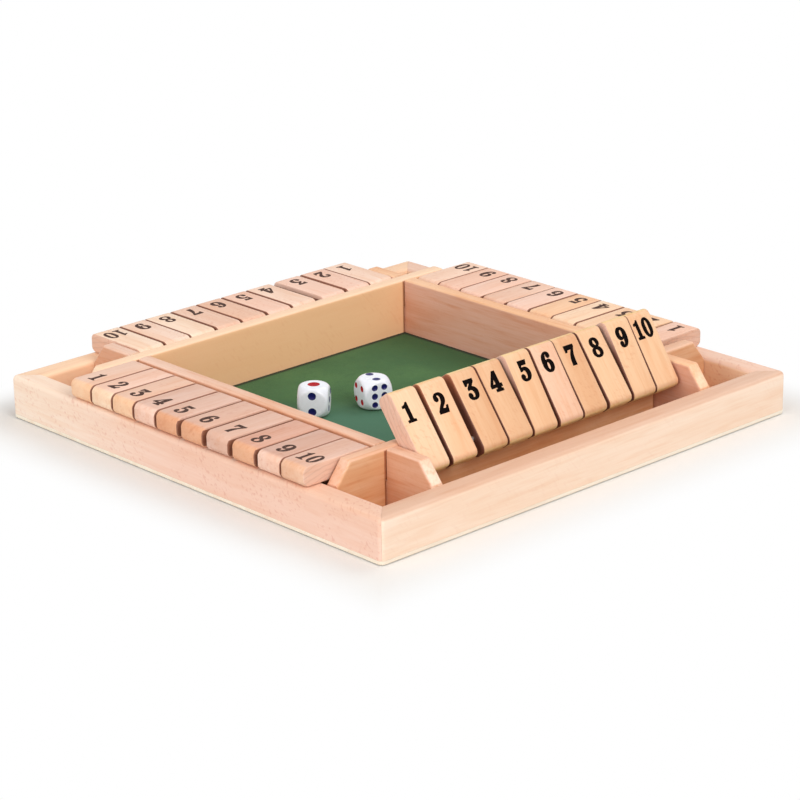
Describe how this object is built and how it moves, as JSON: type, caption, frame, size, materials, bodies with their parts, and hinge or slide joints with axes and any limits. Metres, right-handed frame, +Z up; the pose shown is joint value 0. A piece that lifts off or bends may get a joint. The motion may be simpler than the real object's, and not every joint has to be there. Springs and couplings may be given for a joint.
{
  "type": "shut_the_box_game",
  "caption": "Shut the box tray game: square beech frame, green felt dice floor, rows of number tiles hinged on steel rods outside the inner walls, one row raised, and pip dice.",
  "frame": {"origin": "middle of the tray's underside, in the plane of the table", "axes": "+Z up; -Y is the side whose tile row stands raised; +X is to its right, seen from that side"},
  "size_m": [0.29, 0.29, 0.0594],
  "materials": {
    "rail_beech": "satin lacquered beech, pinkish cream with short fine flecks",
    "wall_beech": "satin lacquered beech, a little darker and more orange",
    "tile_beech": "satin lacquered beech, each tile in its own tone, numeral printed in black",
    "plywood": "thin pale plywood panel",
    "green_felt": "short-napped dark green felt",
    "rod_steel": "plain drawn steel rod",
    "die_white": "polished white plastic with red and blue pips"
  },
  "bodies": {
    "tray": {"base_panel": "plywood", "felt_floor": "green_felt", "rail_south": "rail_beech", "rail_east": "rail_beech", "rail_north": "rail_beech", "rail_west": "rail_beech", "wall_south": "wall_beech", "wall_east": "wall_beech", "wall_north": "wall_beech", "wall_west": "wall_beech", "rod_south": "rod_steel", "rod_east": "rod_steel", "rod_north": "rod_steel", "rod_west": "rod_steel"},
    "tile_south_01": {"tile_south_01": "tile_beech"},
    "tile_south_02": {"tile_south_02": "tile_beech"},
    "tile_south_03": {"tile_south_03": "tile_beech"},
    "tile_south_04": {"tile_south_04": "tile_beech"},
    "tile_south_05": {"tile_south_05": "tile_beech"},
    "tile_south_06": {"tile_south_06": "tile_beech"},
    "tile_south_07": {"tile_south_07": "tile_beech"},
    "tile_south_08": {"tile_south_08": "tile_beech"},
    "tile_south_09": {"tile_south_09": "tile_beech"},
    "tile_south_10": {"tile_south_10": "tile_beech"},
    "tile_east_01": {"tile_east_01": "tile_beech"},
    "tile_east_02": {"tile_east_02": "tile_beech"},
    "tile_east_03": {"tile_east_03": "tile_beech"},
    "tile_east_04": {"tile_east_04": "tile_beech"},
    "tile_east_05": {"tile_east_05": "tile_beech"},
    "tile_east_06": {"tile_east_06": "tile_beech"},
    "tile_east_07": {"tile_east_07": "tile_beech"},
    "tile_east_08": {"tile_east_08": "tile_beech"},
    "tile_east_09": {"tile_east_09": "tile_beech"},
    "tile_east_10": {"tile_east_10": "tile_beech"},
    "tile_north_01": {"tile_north_01": "tile_beech"},
    "tile_north_02": {"tile_north_02": "tile_beech"},
    "tile_north_03": {"tile_north_03": "tile_beech"},
    "tile_north_04": {"tile_north_04": "tile_beech"},
    "tile_north_05": {"tile_north_05": "tile_beech"},
    "tile_north_06": {"tile_north_06": "tile_beech"},
    "tile_north_07": {"tile_north_07": "tile_beech"},
    "tile_north_08": {"tile_north_08": "tile_beech"},
    "tile_north_09": {"tile_north_09": "tile_beech"},
    "tile_north_10": {"tile_north_10": "tile_beech"},
    "tile_west_01": {"tile_west_01": "tile_beech"},
    "tile_west_02": {"tile_west_02": "tile_beech"},
    "tile_west_03": {"tile_west_03": "tile_beech"},
    "tile_west_04": {"tile_west_04": "tile_beech"},
    "tile_west_05": {"tile_west_05": "tile_beech"},
    "tile_west_06": {"tile_west_06": "tile_beech"},
    "tile_west_07": {"tile_west_07": "tile_beech"},
    "tile_west_08": {"tile_west_08": "tile_beech"},
    "tile_west_09": {"tile_west_09": "tile_beech"},
    "tile_west_10": {"tile_west_10": "tile_beech"},
    "die_left": {"die_left": "die_white"},
    "die_right": {"die_right": "die_white"}
  },
  "joints": [
    {"name": "tile_south_01_hinge", "type": "hinge", "parent": "tray", "child": "tile_south_01", "pos_m": [-0.0834, -0.11021, 0.02885], "axis": [-1, 0, 0], "range_deg": [-127.2, 0]},
    {"name": "tile_south_02_hinge", "type": "hinge", "parent": "tray", "child": "tile_south_02", "pos_m": [-0.0645, -0.11021, 0.02885], "axis": [-1, 0, 0], "range_deg": [-126.6, 0]},
    {"name": "tile_south_03_hinge", "type": "hinge", "parent": "tray", "child": "tile_south_03", "pos_m": [-0.0436, -0.11021, 0.02885], "axis": [-1, 0, 0], "range_deg": [-126.9, 0]},
    {"name": "tile_south_04_hinge", "type": "hinge", "parent": "tray", "child": "tile_south_04", "pos_m": [-0.0261, -0.11021, 0.02885], "axis": [-1, 0, 0], "range_deg": [-127.2, 0]},
    {"name": "tile_south_05_hinge", "type": "hinge", "parent": "tray", "child": "tile_south_05", "pos_m": [-0.0081, -0.11021, 0.02885], "axis": [-1, 0, 0], "range_deg": [-122.6, 0]},
    {"name": "tile_south_06_hinge", "type": "hinge", "parent": "tray", "child": "tile_south_06", "pos_m": [0.0104, -0.11021, 0.02885], "axis": [-1, 0, 0], "range_deg": [-124.2, 0]},
    {"name": "tile_south_07_hinge", "type": "hinge", "parent": "tray", "child": "tile_south_07", "pos_m": [0.0278, -0.11021, 0.02885], "axis": [-1, 0, 0], "range_deg": [-125.6, 0]},
    {"name": "tile_south_08_hinge", "type": "hinge", "parent": "tray", "child": "tile_south_08", "pos_m": [0.0462, -0.11021, 0.02885], "axis": [-1, 0, 0], "range_deg": [-127, 0]},
    {"name": "tile_south_09_hinge", "type": "hinge", "parent": "tray", "child": "tile_south_09", "pos_m": [0.0647, -0.11021, 0.02885], "axis": [-1, 0, 0], "range_deg": [-122.4, 0]},
    {"name": "tile_south_10_hinge", "type": "hinge", "parent": "tray", "child": "tile_south_10", "pos_m": [0.082, -0.11021, 0.02885], "axis": [-1, 0, 0], "range_deg": [-123.6, 0]},
    {"name": "tile_east_01_hinge", "type": "hinge", "parent": "tray", "child": "tile_east_01", "pos_m": [0.11021, -0.0776, 0.02885], "axis": [0, -1, 0], "range_deg": [0, 112]},
    {"name": "tile_east_02_hinge", "type": "hinge", "parent": "tray", "child": "tile_east_02", "pos_m": [0.11021, -0.0588, 0.02885], "axis": [0, -1, 0], "range_deg": [0, 127.2]},
    {"name": "tile_east_03_hinge", "type": "hinge", "parent": "tray", "child": "tile_east_03", "pos_m": [0.11021, -0.0414, 0.02885], "axis": [0, -1, 0], "range_deg": [0, 127.2]},
    {"name": "tile_east_04_hinge", "type": "hinge", "parent": "tray", "child": "tile_east_04", "pos_m": [0.11021, -0.0236, 0.02885], "axis": [0, -1, 0], "range_deg": [0, 127.2]},
    {"name": "tile_east_05_hinge", "type": "hinge", "parent": "tray", "child": "tile_east_05", "pos_m": [0.11021, -0.0063, 0.02885], "axis": [0, -1, 0], "range_deg": [0, 127.2]},
    {"name": "tile_east_06_hinge", "type": "hinge", "parent": "tray", "child": "tile_east_06", "pos_m": [0.11021, 0.0116, 0.02885], "axis": [0, -1, 0], "range_deg": [0, 127.2]},
    {"name": "tile_east_07_hinge", "type": "hinge", "parent": "tray", "child": "tile_east_07", "pos_m": [0.11021, 0.0298, 0.02885], "axis": [0, -1, 0], "range_deg": [0, 127.2]},
    {"name": "tile_east_08_hinge", "type": "hinge", "parent": "tray", "child": "tile_east_08", "pos_m": [0.11021, 0.0482, 0.02885], "axis": [0, -1, 0], "range_deg": [0, 127.2]},
    {"name": "tile_east_09_hinge", "type": "hinge", "parent": "tray", "child": "tile_east_09", "pos_m": [0.11021, 0.0655, 0.02885], "axis": [0, -1, 0], "range_deg": [0, 127.2]},
    {"name": "tile_east_10_hinge", "type": "hinge", "parent": "tray", "child": "tile_east_10", "pos_m": [0.11021, 0.0827, 0.02885], "axis": [0, -1, 0], "range_deg": [0, 127.2]},
    {"name": "tile_north_01_hinge", "type": "hinge", "parent": "tray", "child": "tile_north_01", "pos_m": [0.0834, 0.11021, 0.02885], "axis": [1, 0, 0], "range_deg": [0, 112]},
    {"name": "tile_north_02_hinge", "type": "hinge", "parent": "tray", "child": "tile_north_02", "pos_m": [0.0662, 0.11021, 0.02885], "axis": [1, 0, 0], "range_deg": [0, 127.2]},
    {"name": "tile_north_03_hinge", "type": "hinge", "parent": "tray", "child": "tile_north_03", "pos_m": [0.04739, 0.11021, 0.02885], "axis": [1, 0, 0], "range_deg": [0, 127.2]},
    {"name": "tile_north_04_hinge", "type": "hinge", "parent": "tray", "child": "tile_north_04", "pos_m": [0.02525, 0.11021, 0.02885], "axis": [1, 0, 0], "range_deg": [0, 127.2]},
    {"name": "tile_north_05_hinge", "type": "hinge", "parent": "tray", "child": "tile_north_05", "pos_m": [0.00714, 0.11021, 0.02885], "axis": [1, 0, 0], "range_deg": [0, 127.2]},
    {"name": "tile_north_06_hinge", "type": "hinge", "parent": "tray", "child": "tile_north_06", "pos_m": [-0.01117, 0.11021, 0.02885], "axis": [1, 0, 0], "range_deg": [0, 127.2]},
    {"name": "tile_north_07_hinge", "type": "hinge", "parent": "tray", "child": "tile_north_07", "pos_m": [-0.02918, 0.11021, 0.02885], "axis": [1, 0, 0], "range_deg": [0, 127.2]},
    {"name": "tile_north_08_hinge", "type": "hinge", "parent": "tray", "child": "tile_north_08", "pos_m": [-0.04749, 0.11021, 0.02885], "axis": [1, 0, 0], "range_deg": [0, 127.2]},
    {"name": "tile_north_09_hinge", "type": "hinge", "parent": "tray", "child": "tile_north_09", "pos_m": [-0.06499, 0.11021, 0.02885], "axis": [1, 0, 0], "range_deg": [0, 127.2]},
    {"name": "tile_north_10_hinge", "type": "hinge", "parent": "tray", "child": "tile_north_10", "pos_m": [-0.083, 0.11021, 0.02885], "axis": [1, 0, 0], "range_deg": [0, 127.2]},
    {"name": "tile_west_01_hinge", "type": "hinge", "parent": "tray", "child": "tile_west_01", "pos_m": [-0.11021, 0.0834, 0.02885], "axis": [0, 1, 0], "range_deg": [0, 112]},
    {"name": "tile_west_02_hinge", "type": "hinge", "parent": "tray", "child": "tile_west_02", "pos_m": [-0.11021, 0.0659, 0.02885], "axis": [0, 1, 0], "range_deg": [0, 127.2]},
    {"name": "tile_west_03_hinge", "type": "hinge", "parent": "tray", "child": "tile_west_03", "pos_m": [-0.11021, 0.0484, 0.02885], "axis": [0, 1, 0], "range_deg": [0, 127.2]},
    {"name": "tile_west_04_hinge", "type": "hinge", "parent": "tray", "child": "tile_west_04", "pos_m": [-0.11021, 0.0307, 0.02885], "axis": [0, 1, 0], "range_deg": [0, 127.2]},
    {"name": "tile_west_05_hinge", "type": "hinge", "parent": "tray", "child": "tile_west_05", "pos_m": [-0.11021, 0.0129, 0.02885], "axis": [0, 1, 0], "range_deg": [0, 127.2]},
    {"name": "tile_west_06_hinge", "type": "hinge", "parent": "tray", "child": "tile_west_06", "pos_m": [-0.11021, -0.0068, 0.02885], "axis": [0, 1, 0], "range_deg": [0, 127.2]},
    {"name": "tile_west_07_hinge", "type": "hinge", "parent": "tray", "child": "tile_west_07", "pos_m": [-0.11021, -0.0266, 0.02885], "axis": [0, 1, 0], "range_deg": [0, 127.2]},
    {"name": "tile_west_08_hinge", "type": "hinge", "parent": "tray", "child": "tile_west_08", "pos_m": [-0.11021, -0.0464, 0.02885], "axis": [0, 1, 0], "range_deg": [0, 127.2]},
    {"name": "tile_west_09_hinge", "type": "hinge", "parent": "tray", "child": "tile_west_09", "pos_m": [-0.11021, -0.0653, 0.02885], "axis": [0, 1, 0], "range_deg": [0, 127.2]},
    {"name": "tile_west_10_hinge", "type": "hinge", "parent": "tray", "child": "tile_west_10", "pos_m": [-0.11021, -0.0826, 0.02885], "axis": [0, 1, 0], "range_deg": [0, 112]},
    {"name": "die_left_lift", "type": "slide", "parent": "tray", "child": "die_left", "axis": [0, 0, 1], "range_m": [0, 0.08]},
    {"name": "die_right_lift", "type": "slide", "parent": "tray", "child": "die_right", "axis": [0, 0, 1], "range_m": [0, 0.08]}
  ]
}
